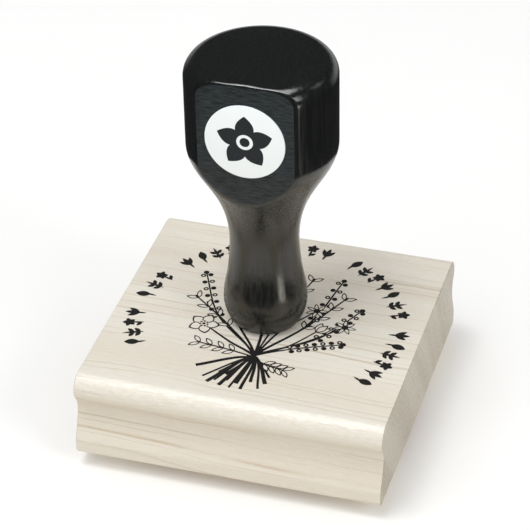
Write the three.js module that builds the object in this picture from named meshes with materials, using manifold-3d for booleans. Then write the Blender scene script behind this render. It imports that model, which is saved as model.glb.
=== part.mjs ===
// Rubber stamp with a turned wooden handle, in millimetres, +Z up.
// The origin is the middle of the printing face, at z = 0 under the centre of the block.
// X runs along the block's moulding, and the flat with the label faces -Y.
import * as THREE from 'three';
import { mergeVertices } from 'three/addons/utils/BufferGeometryUtils.js';
import Module from 'manifold-3d';

const { degToRad } = THREE.MathUtils;

// ---------------------------------------------------------------- driving dimensions

// Block: a square cut from a length of moulding.
const blockLength = 76.2;
const blockDepth = 76.2; // over the plinths, the widest lines of the moulding
const blockHeight = 21.5;
const noseRadius = 3.9; // bullnose along the two upper long edges
const noseInset = 0.9; // the bullnose's widest line, inside the plinth
const noseWrap = degToRad(42); // how far the bullnose turns under its widest line
const coveDepth = 2.8; // the cove's deepest line, inside the plinth
const coveDrop = 2.6; // and below the crease under the bullnose
const plinthHeight = 3.8; // upright lip at the foot of the moulding
const plinthRound = 1.2;
const coveSweep = [0.14, 0.4]; // how long the curve up from the plinth holds its first and last directions
const coveTurn = 0.45; // the same for the cove's turn back out
const creaseRun = [0.4, 0.5]; // the cove's last run, out and up into the crease

// Die stack under the block, from the printing face up.
const reliefHeight = 1.0;
const dieSheetThickness = 1.3;
const filmThickness = 0.1; // each of the two adhesive films
const cushionThickness = 1.6;
const dieInset = 2.15; // from the block's nearer edges to the round of the die
const dieMargin = 0.5; // rubber left around the artwork

// Artwork on the die.
const ringCentreY = -3;
const markHeight = 5.4;
const markGroups = [4, 3, 7, 2, 7, 6]; // marks between one gap and the next
const ringStart = degToRad(209);
const ringEnd = degToRad(-30);
const bouquetRing = 32.6; // the ring radius that the bouquet's own sizes below belong to
const tiePoint = [0.6, -17.4];
const tieSize = [1.7, 1.0];
const tieSpread = 0.14; // how far apart the stems stay at the tie, against their feet
const stemWidth = 0.8;
const stemTipWidth = 0.36;
const growthStart = 0.97; // the topmost pair of leaves or berries, as a share of the stem
const leafPairs = 4;
const leafStep = 0.1; // from one pair to the next, as a share of the stem
const leafLength = 3.3;
const leafWidth = 1.4;
const leafSpread = 0.7; // radians off the stem
const berryPairs = 7;
const berryStep = 0.052;
const berryRadius = 0.68;
const berryReach = 1.05; // from the stem to a berry's centre
const berrySpread = 1.1;
const flowerLength = 4.1; // petals of the open flower
const flowerWidth = 3.0;
const daisyLength = 3.0;
const daisyWidth = 1.15;
const budLength = 4.2;
const budWidth = 2.0;
const budSpread = 0.42;
const petalCentre = 0.3; // a blossom's middle, as a share of its petals' length
const strokeSegments = 4;

// Marks of the ring, by kind. Each is made of leaves: where a leaf starts, its turn off the mark's own
// line and its length, the first and last as shares of the mark's height, and then its width.
const markKinds = [
  [[0, 0, 0.6, 0.6], [0.28, 0.22, 0.72, 2.1]], // a leaf on its stalk
  [
    [0, 0, 1, 0.8], // a sprig with two pairs of leaves
    [0.16, 0.85, 0.4, 1.05],
    [0.16, -0.85, 0.4, 1.05],
    [0.46, 0.85, 0.4, 1.05],
    [0.46, -0.85, 0.4, 1.05],
  ],
  [[0, 0, 0.6, 0.6], [0.1, 0.8, 0.36, 0.95]], // a stalk with one leaf, for the small blossom
  [[0, 0, 0.6, 0.6], [0.3, 0.5, 0.62, 1.15], [0.3, -0.5, 0.62, 1.15], [0.3, 0, 0.7, 1.2]], // a bud
];
const markBlossom = { kind: 2, place: 0.69, petals: 5, length: 0.31, width: 1.15 };

// Handle, all heights from its own foot.
const handleHeight = 73.8;
const handleOffset = -1.0; // off the block's centre, along X
const footEdgeRadius = 7.9;
const footRadius = 10.3;
const footWidest = 6.5; // height of the foot's widest line
const neckRadius = 8.45;
const flareHeight = 27.5; // from the neck's narrowest line up to the knob
const knobRadius = 18.05;
const knobHeight = 22.5;
const knobRound = 4.2; // around the knob's upper edge
const crownRise = 0.6; // how far the top domes up
const footSpread = 1.1; // the foot's curve starts this far inside its widest line
const footSweep = [0.18, 0.35]; // how long each curve of the outline holds its first and last directions
const waistSweep = [0.26, 0.57];
const flareSweep = [0.53, 0.25];
const flatDepth = 4.7; // how deep the label's flat is cut into the knob

// Label on the flat.
const labelRadius = 9.6;
const labelThickness = 0.3;
const labelDrop = 15.2; // its centre, below the top of the handle
const labelGlueLine = 0.05;

// Screw, driven up through the block into the handle.
const screwRadius = 2.1;
const screwShankRadius = 1.9; // the plain part above the thread
const threadRootRadius = 1.5;
const threadPitch = 2.8;
const threadFlank = 0.34; // half the ridge's width, as a share of the pitch
const screwHeadRadius = 4.2;
const screwHeadRim = 0.4;
const screwHeadRecess = 0.5; // the head lies this far inside the block's underside
const screwBite = 17; // how much of the screw is in the handle
const screwPointLength = 4;
const driveWidth = 1.0; // each slot of the cross recess
const driveSpan = 4.6;
const driveDepth = 1.9;
const screwClearance = 0.25; // around the screw, in the block and in the handle
const pilotSpare = 2.5; // free depth of the pilot hole beyond the screw's point
const drillPoint = degToRad(31); // slope of the hole's end

const roundSegments = 40;
const screwSegments = 16;
const threadSteps = 6; // rings of points in each turn of the thread
const cutOverrun = 1; // how far a cutting tool passes a face
const slivers = 0.02; // edges shorter than this, left where many strokes cross, are closed up

// ---------------------------------------------------------------- derived heights

const dieTop = reliefHeight + dieSheetThickness;
const cushionBottom = dieTop + filmThickness;
const cushionTop = cushionBottom + cushionThickness;
const blockBottom = cushionTop + filmThickness;
const blockTop = blockBottom + blockHeight;

const dieRadius = Math.min(blockLength, blockDepth) / 2 - dieInset;
const ringRadius = dieRadius - dieMargin - markHeight / 2;
const artScale = ringRadius / bouquetRing;
const flatDistance = knobRadius - flatDepth;

// ---------------------------------------------------------------- solids

const wasm = await Module();
wasm.setup();

function toSolid(geometry) {
  const bare = geometry.clone();
  bare.deleteAttribute('normal');
  bare.deleteAttribute('uv');
  const merged = mergeVertices(bare, 1e-4);
  const mesh = new wasm.Mesh({
    numProp: 3,
    vertProperties: merged.attributes.position.array,
    triVerts: new Uint32Array(merged.index.array),
  });
  return new wasm.Manifold(mesh);
}

function toGeometry(solid) {
  const mesh = solid.getMesh();
  const geometry = new THREE.BufferGeometry();
  geometry.setAttribute('position', new THREE.BufferAttribute(mesh.vertProperties, 3));
  geometry.setIndex(new THREE.BufferAttribute(mesh.triVerts, 1));
  geometry.computeVertexNormals();
  return geometry;
}

// A solid of revolution about Z, from [radius, height] pairs.
function turned(outline, segments = roundSegments) {
  const points = outline.map(([radius, height]) => new THREE.Vector2(radius, height));
  return new THREE.LatheGeometry(points, segments).rotateX(Math.PI / 2);
}

function slab(shape, bottom, top, curveSegments) {
  const options = { depth: top - bottom, bevelEnabled: false, curveSegments };
  return new THREE.ExtrudeGeometry(shape, options).translate(0, 0, bottom);
}

function named(name, geometry, colour, roughness, metalness = 0) {
  const material = new THREE.MeshStandardMaterial({ color: colour, roughness, metalness });
  const mesh = new THREE.Mesh(geometry, material);
  mesh.name = name;
  return mesh;
}

// ---------------------------------------------------------------- screw

const screwHeadTop = screwHeadRecess + screwHeadRim + screwHeadRadius - screwRadius;

// The hole that the screw passes through in the block, from below the underside to above the top.
function screwHole() {
  const head = screwHeadRadius + screwClearance;
  const shank = screwRadius + screwClearance;
  return turned([
    [0, -cutOverrun],
    [head, -cutOverrun],
    [head, screwHeadRecess + screwHeadRim],
    [shank, screwHeadTop],
    [shank, blockHeight + cutOverrun],
    [0, blockHeight + cutOverrun],
  ]);
}

function pilotHole() {
  const radius = screwRadius + screwClearance;
  const depth = screwBite + pilotSpare;
  return turned([
    [0, -cutOverrun],
    [radius, -cutOverrun],
    [radius, depth],
    [0, depth + radius * Math.tan(drillPoint)],
  ]);
}

// Thread height at a point on the screw: a triangular ridge that climbs one pitch a turn.
function threadRadius(angle, height, start, end) {
  const phase = ((height / threadPitch - angle / (2 * Math.PI)) % 1 + 1) % 1;
  const ridge = Math.max(0, 1 - Math.abs(phase - 0.5) / threadFlank);
  const fadeIn = THREE.MathUtils.smoothstep(height, start, start + threadPitch);
  const taper = Math.min(1, (end - height) / screwPointLength);
  return (threadRootRadius + (screwRadius - threadRootRadius) * ridge * fadeIn) * taper;
}

function screw() {
  const end = blockHeight + screwBite;
  const threadStart = end - screwBite - threadPitch;
  const outline = [
    [0, screwHeadRecess],
    [screwHeadRadius, screwHeadRecess],
    [screwHeadRadius, screwHeadRecess + screwHeadRim],
    [screwShankRadius, screwHeadTop],
    [screwShankRadius, threadStart],
  ];
  const firstThreadRow = outline.length;
  const steps = Math.round((threadSteps * (end - threadStart)) / threadPitch);
  for (let i = 1; i < steps; i += 1) {
    outline.push([threadRootRadius, threadStart + ((end - threadStart) * i) / steps]);
  }
  outline.push([0, end]);
  const geometry = turned(outline, screwSegments);
  const position = geometry.attributes.position;
  const point = new THREE.Vector3();
  for (let i = 0; i < position.count; i += 1) {
    point.fromBufferAttribute(position, i);
    const row = i % outline.length;
    if (row >= firstThreadRow && row < outline.length - 1) {
      const angle = Math.atan2(point.y, point.x);
      const radius = threadRadius(angle, point.z, threadStart, end);
      position.setXYZ(i, radius * Math.cos(angle), radius * Math.sin(angle), point.z);
    }
  }
  let solid = toSolid(geometry);
  const driveTop = screwHeadRecess + driveDepth;
  for (const turn of [0, Math.PI / 2]) {
    const slot = new THREE.BoxGeometry(driveSpan, driveWidth, driveTop + cutOverrun);
    slot.rotateZ(turn).translate(0, 0, (driveTop - cutOverrun) / 2);
    solid = solid.subtract(toSolid(slot));
  }
  return named('handle_screw', toGeometry(solid), 0xb9bcc0, 0.35, 0.9);
}

// ---------------------------------------------------------------- block

// One side of the moulding from its foot up: [distance outside the plinth, height].
function mouldingEdge() {
  const edge = [];
  const arc = (u, z, radius, from, to, steps) => {
    for (let i = 0; i <= steps; i += 1) {
      const angle = from + ((to - from) * i) / steps;
      edge.push([u + radius * Math.cos(angle), z + radius * Math.sin(angle)]);
    }
  };
  const sweep = (a, b, c, d, steps) => {
    const points = [a, b, c, d].map(([u, z]) => new THREE.Vector2(u, z));
    const curve = new THREE.CubicBezierCurve(...points);
    for (const p of curve.getPoints(steps).slice(1)) edge.push([p.x, p.y]);
  };
  const creaseOut = -noseInset - noseRadius * (1 - Math.cos(noseWrap));
  const creaseHeight = blockHeight - noseRadius * (1 + Math.sin(noseWrap));
  const coveHeight = creaseHeight - coveDrop;
  const rise = coveHeight - plinthHeight;
  arc(-plinthRound, plinthRound, plinthRound, -Math.PI / 2, 0, 4);
  edge.push([0, plinthHeight]);
  sweep(
    [0, plinthHeight],
    [0, plinthHeight + coveSweep[0] * rise],
    [-coveDepth, coveHeight - coveSweep[1] * rise],
    [-coveDepth, coveHeight],
    8,
  );
  sweep(
    [-coveDepth, coveHeight],
    [-coveDepth, coveHeight + coveTurn * coveDrop],
    [creaseOut - creaseRun[0], creaseHeight - creaseRun[1]],
    [creaseOut, creaseHeight],
    4,
  );
  arc(-noseInset - noseRadius, blockHeight - noseRadius, noseRadius, -noseWrap, Math.PI / 2, 12);
  return edge;
}

function block() {
  const half = blockDepth / 2;
  const edge = mouldingEdge();
  const back = edge.map(([u, z]) => new THREE.Vector2(half + u, z));
  const front = edge.map(([u, z]) => new THREE.Vector2(-half - u, z)).reverse();
  const section = new THREE.Shape([...back, ...front]);
  const options = { depth: blockLength, bevelEnabled: false };
  const alongX = new THREE.Matrix4().makeBasis(
    new THREE.Vector3(0, 1, 0),
    new THREE.Vector3(0, 0, 1),
    new THREE.Vector3(1, 0, 0),
  );
  const body = new THREE.ExtrudeGeometry(section, options);
  body.applyMatrix4(alongX).translate(-blockLength / 2, 0, 0);
  const hole = screwHole().translate(handleOffset, 0, 0);
  const solid = toSolid(body).subtract(toSolid(hole));
  return named('block', toGeometry(solid), 0xe4d9c4, 0.55);
}

// ---------------------------------------------------------------- handle

// The turned outline, [radius, height], from the middle of the foot to the middle of the top.
function handleOutline() {
  const knobStart = handleHeight - knobHeight;
  const neck = knobStart - flareHeight;
  const outline = [[0, 0]];
  const sweep = (a, b, c, d, steps) => {
    const points = [a, b, c, d].map(([r, z]) => new THREE.Vector2(r, z));
    for (const p of new THREE.CubicBezierCurve(...points).getPoints(steps).slice(1)) {
      outline.push([p.x, p.y]);
    }
  };
  const waist = neck - footWidest;
  outline.push([footEdgeRadius, 0]);
  sweep(
    [footEdgeRadius, 0],
    [footRadius - footSpread, footSweep[0] * footWidest],
    [footRadius, (1 - footSweep[1]) * footWidest],
    [footRadius, footWidest],
    5,
  );
  sweep(
    [footRadius, footWidest],
    [footRadius, footWidest + waistSweep[0] * waist],
    [neckRadius, neck - waistSweep[1] * waist],
    [neckRadius, neck],
    7,
  );
  sweep(
    [neckRadius, neck],
    [neckRadius, neck + flareSweep[0] * flareHeight],
    [knobRadius, knobStart - flareSweep[1] * flareHeight],
    [knobRadius, knobStart],
    10,
  );
  const shoulder = handleHeight - crownRise - knobRound;
  const roundSteps = 6;
  for (let i = 0; i <= roundSteps; i += 1) {
    const angle = (Math.PI / 2) * (i / roundSteps);
    const radius = knobRadius - knobRound * (1 - Math.cos(angle));
    outline.push([radius, shoulder + knobRound * Math.sin(angle)]);
  }
  for (const share of [1 / 2, 0]) {
    const rise = crownRise * (1 - share * share);
    outline.push([share * (knobRadius - knobRound), shoulder + knobRound + rise]);
  }
  return outline;
}

function handle() {
  const wide = 2 * (knobRadius + cutOverrun);
  const cutter = new THREE.BoxGeometry(wide, wide, handleHeight + 2 * cutOverrun);
  cutter.translate(0, -flatDistance - wide / 2, handleHeight / 2);
  const solid = toSolid(turned(handleOutline()))
    .subtract(toSolid(cutter))
    .subtract(toSolid(pilotHole()));
  return named('handle', toGeometry(solid), 0x1d1f1e, 0.22);
}

function label() {
  const disc = new THREE.CylinderGeometry(labelRadius, labelRadius, labelThickness, roundSegments);
  const front = flatDistance + labelGlueLine + labelThickness / 2;
  disc.translate(0, -front, handleHeight - labelDrop);
  return named('label_disc', disc, 0xf6f7f8, 0.4);
}

// ---------------------------------------------------------------- artwork

function disc(x, y, radius) {
  return new THREE.Shape().absarc(x, y, radius, 0, 2 * Math.PI, false);
}

// A pointed oval that starts at [x, y] and grows along the angle.
function leaf(x, y, angle, length, width) {
  const tip = [x + length * Math.cos(angle), y + length * Math.sin(angle)];
  const side = [-width * Math.sin(angle), width * Math.cos(angle)];
  const middle = [(x + tip[0]) / 2, (y + tip[1]) / 2];
  return new THREE.Shape()
    .moveTo(x, y)
    .quadraticCurveTo(middle[0] - side[0], middle[1] - side[1], tip[0], tip[1])
    .quadraticCurveTo(middle[0] + side[0], middle[1] + side[1], x, y);
}

// Petals around a centre, each overlapping its neighbours at the middle.
function blossom(x, y, petals, length, width, turn = 0) {
  const shapes = [disc(x, y, petalCentre * length)];
  for (let i = 0; i < petals; i += 1) {
    const angle = turn + (2 * Math.PI * i) / petals;
    shapes.push(leaf(x, y, angle, length, width));
  }
  return shapes;
}

// One mark of the ring, standing outwards at the angle: a leaf, a sprig, a blossom or a bud by turns.
function ringMark(index, angle) {
  const kind = index % markKinds.length;
  const turnAbout = Math.floor(index / markKinds.length) % 2 === 0 ? 1 : -1;
  const at = (share) => {
    const radius = ringRadius + (share - 0.5) * markHeight;
    return [radius * Math.cos(angle), ringCentreY * artScale + radius * Math.sin(angle)];
  };
  const shapes = markKinds[kind].map(([start, turn, length, width]) =>
    leaf(...at(start), angle + turn * turnAbout, length * markHeight, width),
  );
  if (kind === markBlossom.kind) {
    const { place, petals, length, width } = markBlossom;
    shapes.push(...blossom(...at(place), petals, length * markHeight, width, angle));
  }
  return shapes;
}

function ring() {
  const marks = markGroups.reduce((sum, count) => sum + count, 0);
  const slots = marks + markGroups.length - 2;
  const shapes = [];
  let slot = 0;
  let index = 0;
  for (const count of markGroups) {
    for (let i = 0; i < count; i += 1) {
      const angle = ringStart + ((ringEnd - ringStart) * slot) / slots;
      shapes.push(...ringMark(index, angle));
      slot += 1;
      index += 1;
    }
    slot += 1;
  }
  return shapes;
}

// Stems of the bouquet: where each starts and ends, what grows along its upper part, and how far it
// bows outwards on its way up.
const stems = [
  { foot: [5.4, -28.6], tip: [-20.8, 13.6], grows: 'berries', bow: 0.25 },
  { foot: [3.0, -26.6], tip: [-20.4, 3.6], grows: 'leaves', bow: -0.1 },
  { foot: [6.6, -26.4], tip: [-14.8, -7.2], grows: 'flower', bow: 0.05 },
  { foot: [6.9, -23.8], tip: [-14.2, -14.6], grows: 'leaves', bow: -0.25 },
  { foot: [1.4, -29.8], tip: [-11.4, 17.6], grows: 'leaves', bow: 0.45 },
  { foot: [-0.2, -28.0], tip: [-1.2, 19.8], grows: 'berries', bow: 0.3 },
  { foot: [-1.4, -29.9], tip: [6.4, 18.2], grows: 'leaves', bow: -0.2 },
  { foot: [-2.8, -27.4], tip: [13.8, 19.0], grows: 'berries', bow: 0.4 },
  { foot: [-4.0, -29.6], tip: [16.6, 12.4], grows: 'leaves', bow: 0.1 },
  { foot: [-5.6, -28.0], tip: [21.4, 8.0], grows: 'berries', bow: 0.3 },
  { foot: [-3.6, -25.2], tip: [10.6, 5.0], grows: 'daisy', bow: -0.25 },
  { foot: [-7.2, -29.0], tip: [19.0, 0.2], grows: 'daisy', bow: 0.1 },
  { foot: [-8.8, -27.2], tip: [20.4, -6.6], grows: 'berries', bow: -0.15 },
  { foot: [-5.4, -24.8], tip: [12.6, -3.6], grows: 'bud', bow: 0.2 },
  { foot: [-11.6, -23.6], tip: [9.4, -20.2], grows: 'leaves', bow: -0.1 },
];

function stemCurve({ foot, tip, bow }) {
  const tied = [tiePoint[0] + tieSpread * (foot[0] + 2), tiePoint[1] + 6 * tieSpread * bow];
  const through = [
    tied[0] + ((tip[0] - tied[0]) * (1 + bow)) / 2,
    tied[1] + ((tip[1] - tied[1]) * (1 - bow / 3)) / 2,
  ];
  const points = [foot, tied, through, tip].map(([x, y]) => new THREE.Vector3(x, y, 0));
  return new THREE.CatmullRomCurve3(points, false, 'centripetal');
}

// A band along a curve that narrows from the foot to the tip.
function stemBand(curve) {
  const steps = 10;
  const left = [];
  const right = [];
  for (let i = 0; i <= steps; i += 1) {
    const t = i / steps;
    const half = (stemWidth + (stemTipWidth - stemWidth) * t) / 2;
    const point = curve.getPoint(t);
    const along = curve.getTangent(t);
    left.push(new THREE.Vector2(point.x - along.y * half, point.y + along.x * half));
    right.push(new THREE.Vector2(point.x + along.y * half, point.y - along.x * half));
  }
  return new THREE.Shape([...right, ...left.reverse()]);
}

// Places in pairs down a stem from its tip: the point, the stem's direction there and the side.
function sidePlaces(curve, pairs, step) {
  const places = [];
  for (let pair = 0; pair < pairs; pair += 1) {
    const t = growthStart - step * pair;
    const { x, y } = curve.getPoint(t);
    const along = curve.getTangent(t);
    for (const side of [-1, 1]) places.push({ x, y, angle: Math.atan2(along.y, along.x), side });
  }
  return places;
}

function leavesOn(curve) {
  return sidePlaces(curve, leafPairs, leafStep).map(({ x, y, angle, side }) =>
    leaf(x, y, angle + side * leafSpread, leafLength, leafWidth),
  );
}

function berriesOn(curve) {
  const tip = curve.getPoint(1);
  const berries = sidePlaces(curve, berryPairs, berryStep).map(({ x, y, angle, side }) => {
    const away = angle + side * berrySpread;
    return disc(x + berryReach * Math.cos(away), y + berryReach * Math.sin(away), berryRadius);
  });
  return [disc(tip.x, tip.y, berryRadius), ...berries];
}

// What a stem carries: pairs of leaves or berries along its upper part, or a head at its tip.
function growth(curve, grows) {
  if (grows === 'leaves') return leavesOn(curve);
  if (grows === 'berries') return berriesOn(curve);
  const { x, y } = curve.getPoint(1);
  const end = curve.getTangent(1);
  const turn = Math.atan2(end.y, end.x);
  if (grows === 'flower') return blossom(x, y, 5, flowerLength, flowerWidth, turn);
  if (grows === 'daisy') return blossom(x, y, 7, daisyLength, daisyWidth, turn);
  return [-budSpread, budSpread, 0].map((spread) => leaf(x, y, turn + spread, budLength, budWidth));
}

function bouquet() {
  const shapes = [];
  for (const stem of stems) {
    const curve = stemCurve(stem);
    shapes.push(stemBand(curve), ...growth(curve, stem.grows));
  }
  shapes.push(new THREE.Shape().absellipse(...tiePoint, ...tieSize, 0, 2 * Math.PI, false, 0));
  return shapes;
}

// ---------------------------------------------------------------- die stack

// The trimmed outline that the rubber, its cushion and both films share: a round, cut straight in front.
function dieOutline() {
  const front = Math.min(...stems.map(({ foot }) => foot[1])) * artScale - dieMargin;
  const centre = ringCentreY * artScale;
  const start = Math.asin((front - centre) / dieRadius);
  return new THREE.Shape().absarc(0, centre, dieRadius, start, Math.PI - start, false);
}

function rubberDie() {
  const fused = 0.2; // how far the relief reaches into the sheet
  let solid = toSolid(slab(dieOutline(), reliefHeight, dieTop, roundSegments));
  for (const shape of ring()) {
    solid = solid.add(toSolid(slab(shape, 0, reliefHeight + fused, strokeSegments)));
  }
  for (const shape of bouquet()) {
    const piece = slab(shape, 0, reliefHeight + fused, strokeSegments).scale(artScale, artScale, 1);
    solid = solid.add(toSolid(piece));
  }
  return named('rubber_die', toGeometry(solid.simplify(slivers)), 0x9a4a3c, 0.7);
}

function dieFilm() {
  return named('die_adhesive', slab(dieOutline(), dieTop, cushionBottom, roundSegments), 0xd8d4c8, 0.5);
}

function cushion() {
  return named('cushion', slab(dieOutline(), cushionBottom, cushionTop, roundSegments), 0x8f9296, 0.95);
}

function mountFilm() {
  return named('mount_adhesive', slab(dieOutline(), cushionTop, blockBottom, roundSegments), 0xd8d4c8, 0.5);
}

// ---------------------------------------------------------------- assembly

const stamp = new THREE.Group();
stamp.add(rubberDie(), dieFilm(), cushion(), mountFilm());

const mount = new THREE.Group();
mount.position.z = blockBottom;
const fastening = screw();
fastening.position.x = handleOffset;
mount.add(block(), fastening);
stamp.add(mount);

const grip = new THREE.Group();
grip.position.set(handleOffset, 0, blockTop);
grip.add(handle(), label());
stamp.add(grip);

export default stamp;
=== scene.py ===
# Rubber stamp with a turned handle: the looks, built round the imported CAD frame.
# Meshes are worked out in millimetres in the CAD's own frame and made in metres:
# +Z up, the printing face at z = 0, the block's moulding along X, the label facing -Y.
import math

import bmesh
import bpy
import numpy as np
from mathutils import Matrix, Vector
from mathutils.geometry import delaunay_2d_cdt


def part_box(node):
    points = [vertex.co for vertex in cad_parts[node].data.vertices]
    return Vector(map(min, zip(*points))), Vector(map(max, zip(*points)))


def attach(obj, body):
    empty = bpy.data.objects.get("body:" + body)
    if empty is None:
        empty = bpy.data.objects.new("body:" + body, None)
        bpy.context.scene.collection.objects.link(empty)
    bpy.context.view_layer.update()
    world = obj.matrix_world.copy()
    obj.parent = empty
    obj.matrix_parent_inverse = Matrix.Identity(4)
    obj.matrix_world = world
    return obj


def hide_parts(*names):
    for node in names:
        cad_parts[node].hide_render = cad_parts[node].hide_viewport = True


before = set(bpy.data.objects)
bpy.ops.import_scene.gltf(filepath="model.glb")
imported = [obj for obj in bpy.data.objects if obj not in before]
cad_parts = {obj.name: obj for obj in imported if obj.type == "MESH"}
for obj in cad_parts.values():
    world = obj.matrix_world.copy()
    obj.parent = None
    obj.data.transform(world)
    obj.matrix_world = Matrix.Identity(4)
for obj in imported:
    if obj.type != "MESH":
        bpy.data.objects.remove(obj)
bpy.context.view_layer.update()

MM = 0.001


def box_mm(node):
    low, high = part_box(node)
    return low / MM, high / MM


BLOCK_LOW, BLOCK_HIGH = box_mm("block")
HANDLE_LOW, HANDLE_HIGH = box_mm("handle")
LABEL_LOW, LABEL_HIGH = box_mm("label_disc")
DIE_LOW, DIE_HIGH = box_mm("rubber_die")
CUSHION_LOW, CUSHION_HIGH = box_mm("cushion")
SCREW_LOW, SCREW_HIGH = box_mm("handle_screw")

# Block moulding, as distances in from the plinth and heights above the block's underside.
BLOCK_HEIGHT = BLOCK_HIGH.z - BLOCK_LOW.z
NOSE_RADIUS = 3.9
NOSE_INSET = 0.9
NOSE_WRAP = math.radians(42)
COVE_DEPTH = 2.8
COVE_DROP = 2.6
COVE_SWEEP = (0.14, 0.4)  # how far the curve runs straight on at its ends, as shares of its rise
COVE_TURN = 0.45  # the same, above the cove's deepest point
CREASE_RUN = (0.4, 0.5)  # how far in and down from the crease the curve aims
PLINTH_HEIGHT = 3.8
PLINTH_ROUND = 1.2
MITRE_LIMIT = 0.5
END_ROUND = 0.35  # sanded edge round each sawn end
END_STEPS = 3

# Handle, heights above its own foot. The waist's and the flare's sweeps are as the cove's.
HANDLE_AXIS_X = (HANDLE_LOW.x + HANDLE_HIGH.x) / 2
HANDLE_HEIGHT = HANDLE_HIGH.z - HANDLE_LOW.z
FOOT_EDGE_RADIUS = 7.9
FOOT_RADIUS = 10.3
FOOT_WIDEST = 6.5
FOOT_SPREAD = 1.1
FOOT_SWEEP = (0.18, 0.65)  # heights of the curve's two handles, as shares of its rise
WAIST_SWEEP = (0.26, 0.57)
FLARE_SWEEP = (0.53, 0.25)
NECK_RADIUS = 8.45
FLARE_HEIGHT = 27.5
KNOB_RADIUS = HANDLE_HIGH.y
KNOB_HEIGHT = 22.5
KNOB_ROUND = 4.2
CROWN_RISE = 0.6
FLAT_DISTANCE = -HANDLE_LOW.y  # from the handle's axis to the label's flat
FLAT_EDGE = 0.75  # how wide the flat's edge is eased over
CROWN_STEPS = 24
EASE_REACH = 1.8 * FLAT_EDGE
EASE_LIMIT = 0.35
COLUMNS = (12, 14, 44)  # over the flat, its edge and the rest, half the way round
FAN_DEPTH = 0.8 * KNOB_HEIGHT  # below the top: rays to the skin start no higher than this
HALVINGS = 30  # steps in the search for the skin along a ray

# Screw holes, a little wider than the screw.
SCREW_CLEARANCE = 0.25
SCREW_RADIUS = 2.1
HOLE_RADIUS = SCREW_RADIUS + SCREW_CLEARANCE
SCREW_HEAD_RADIUS = (SCREW_HIGH.x - SCREW_LOW.x) / 2
SCREW_HEAD_RIM = 0.4
PILOT_SPARE = 2.5  # left over above the screw's tip
PILOT_DEPTH = SCREW_HIGH.z - HANDLE_LOW.z + PILOT_SPARE
PILOT_POINT = 1.4

LABEL_RADIUS = (LABEL_HIGH.x - LABEL_LOW.x) / 2
LABEL_CENTRE = (LABEL_LOW + LABEL_HIGH) / 2
LABEL_EDGE = 0.08
LABEL_INK_THICKNESS = 0.02
LABEL_PETALS = 5
LABEL_PETAL_LENGTH = 6.9
LABEL_PETAL_WIDTH = 4.5
LABEL_EYE_RADIUS = 2.0
LABEL_DOT_RADIUS = 1.2

# Rubber die and the artwork it prints.
RELIEF_HEIGHT = 1.0
DIE_MARGIN = 0.5
CUSHION_WAIST = 0.22  # how far the foam is drawn in at its stuck faces
CUSHION_TRIM = 0.02  # how far it stays inside the die's outline even so
CUSHION_STEPS = 6
PAINT_TOLERANCE = 1e-4  # corners closer than this become one
MARK_HEIGHT = 5.4
MARK_GROUPS = (4, 3, 7, 2, 7, 6)
RING_START = math.radians(209)
RING_END = math.radians(-30)
DIE_CENTRE_Y = DIE_HIGH.y - DIE_HIGH.x
DIE_RADIUS = DIE_HIGH.x
RING_RADIUS = DIE_RADIUS - DIE_MARGIN - MARK_HEIGHT / 2
INK_THICKNESS = 0.03
PRINT_GAP = 0.05  # bare wood between the print and the handle's foot

# Bouquet. A size is a length and a width, a line is the width of a drawn outline.
TIE = (0.6, -17.4)
KNOT_HALF = (1.7, 1.0)
TIE_SPREAD = 0.14  # how far apart the stems stay at the tie, against their feet
TIE_RISE = 6  # how much higher a bowed stem passes the tie, times its bow and the spread
FEET_MIDDLE = -2
STEM_WIDTH = 0.6
STEM_WIDENING = 0.22
STEM_TIP_WIDTH = 0.38
STEM_STEPS = 12
TOP_PAIR = 0.97  # how far up the stem its last pair of leaves or berries stands
LEAF_PAIRS = 4
LEAF_STEP = 0.1  # from pair to pair, as a share of the stem
LEAF_SPREAD = 0.7  # angle off the stem
LEAF_SIZE = (3.3, 1.4)
LEAF_LINE = 0.28
BERRY_PAIRS = 7
BERRY_STEP = 0.052  # the same
BERRY_REACH = 1.05
BERRY_SPREAD = 1.1  # angle off the stem
BERRY_RADIUS = 0.68
BERRY_HOLLOW = 0.28
TOP_BERRY_RADIUS = 0.72
DAISY_SIZE = (3.0, 1.15)
DAISY_PETALS = 7
DAISY_LINE = 0.24
DAISY_EYE = 0.3 * DAISY_SIZE[0]
FLOWER_SIZE = (4.1, 3.0)
FLOWER_PETALS = 5
FLOWER_LINE = 0.3
FLOWER_EYE = 1.25
STAMENS = 7
STAMEN_REACH = 0.95
STAMEN_RADIUS = 0.3
PISTIL_RADIUS = 0.42
BUD_SIZE = (4.2, 2.0)
BUD_SPREAD = 0.42  # angle between its petals
BUD_LINE = 0.28

# ---------------------------------------------------------------- mesh helpers


def bezier(a, b, c, d, steps):
    """Points of a cubic curve after its first one."""
    points = []
    for i in range(1, steps + 1):
        t = i / steps
        weights = ((1 - t) ** 3, 3 * t * (1 - t) ** 2, 3 * t * t * (1 - t), t**3)
        points.append(tuple(sum(w * p[k] for w, p in zip(weights, (a, b, c, d))) for k in (0, 1)))
    return points


def arc(centre, radius, start, end, steps):
    """Points of a circular arc, both ends included."""
    angles = [start + (end - start) * i / steps for i in range(steps + 1)]
    return [(centre[0] + radius * math.cos(a), centre[1] + radius * math.sin(a)) for a in angles]


def make_object(name, bm, materials, sharp=35.0):
    """A piece from a bmesh in millimetres, smooth except where faces meet at over the sharp angle."""
    bmesh.ops.recalc_face_normals(bm, faces=bm.faces)
    bmesh.ops.scale(bm, vec=(MM, MM, MM), verts=bm.verts)
    mesh = bpy.data.meshes.new(name)
    bm.to_mesh(mesh)
    bm.free()
    for material in materials:
        mesh.materials.append(material)
    mesh.polygons.foreach_set("use_smooth", [True] * len(mesh.polygons))
    mesh.set_sharp_from_angle(angle=math.radians(sharp))
    piece = bpy.data.objects.new(name, mesh)
    bpy.context.scene.collection.objects.link(piece)
    return piece


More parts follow.
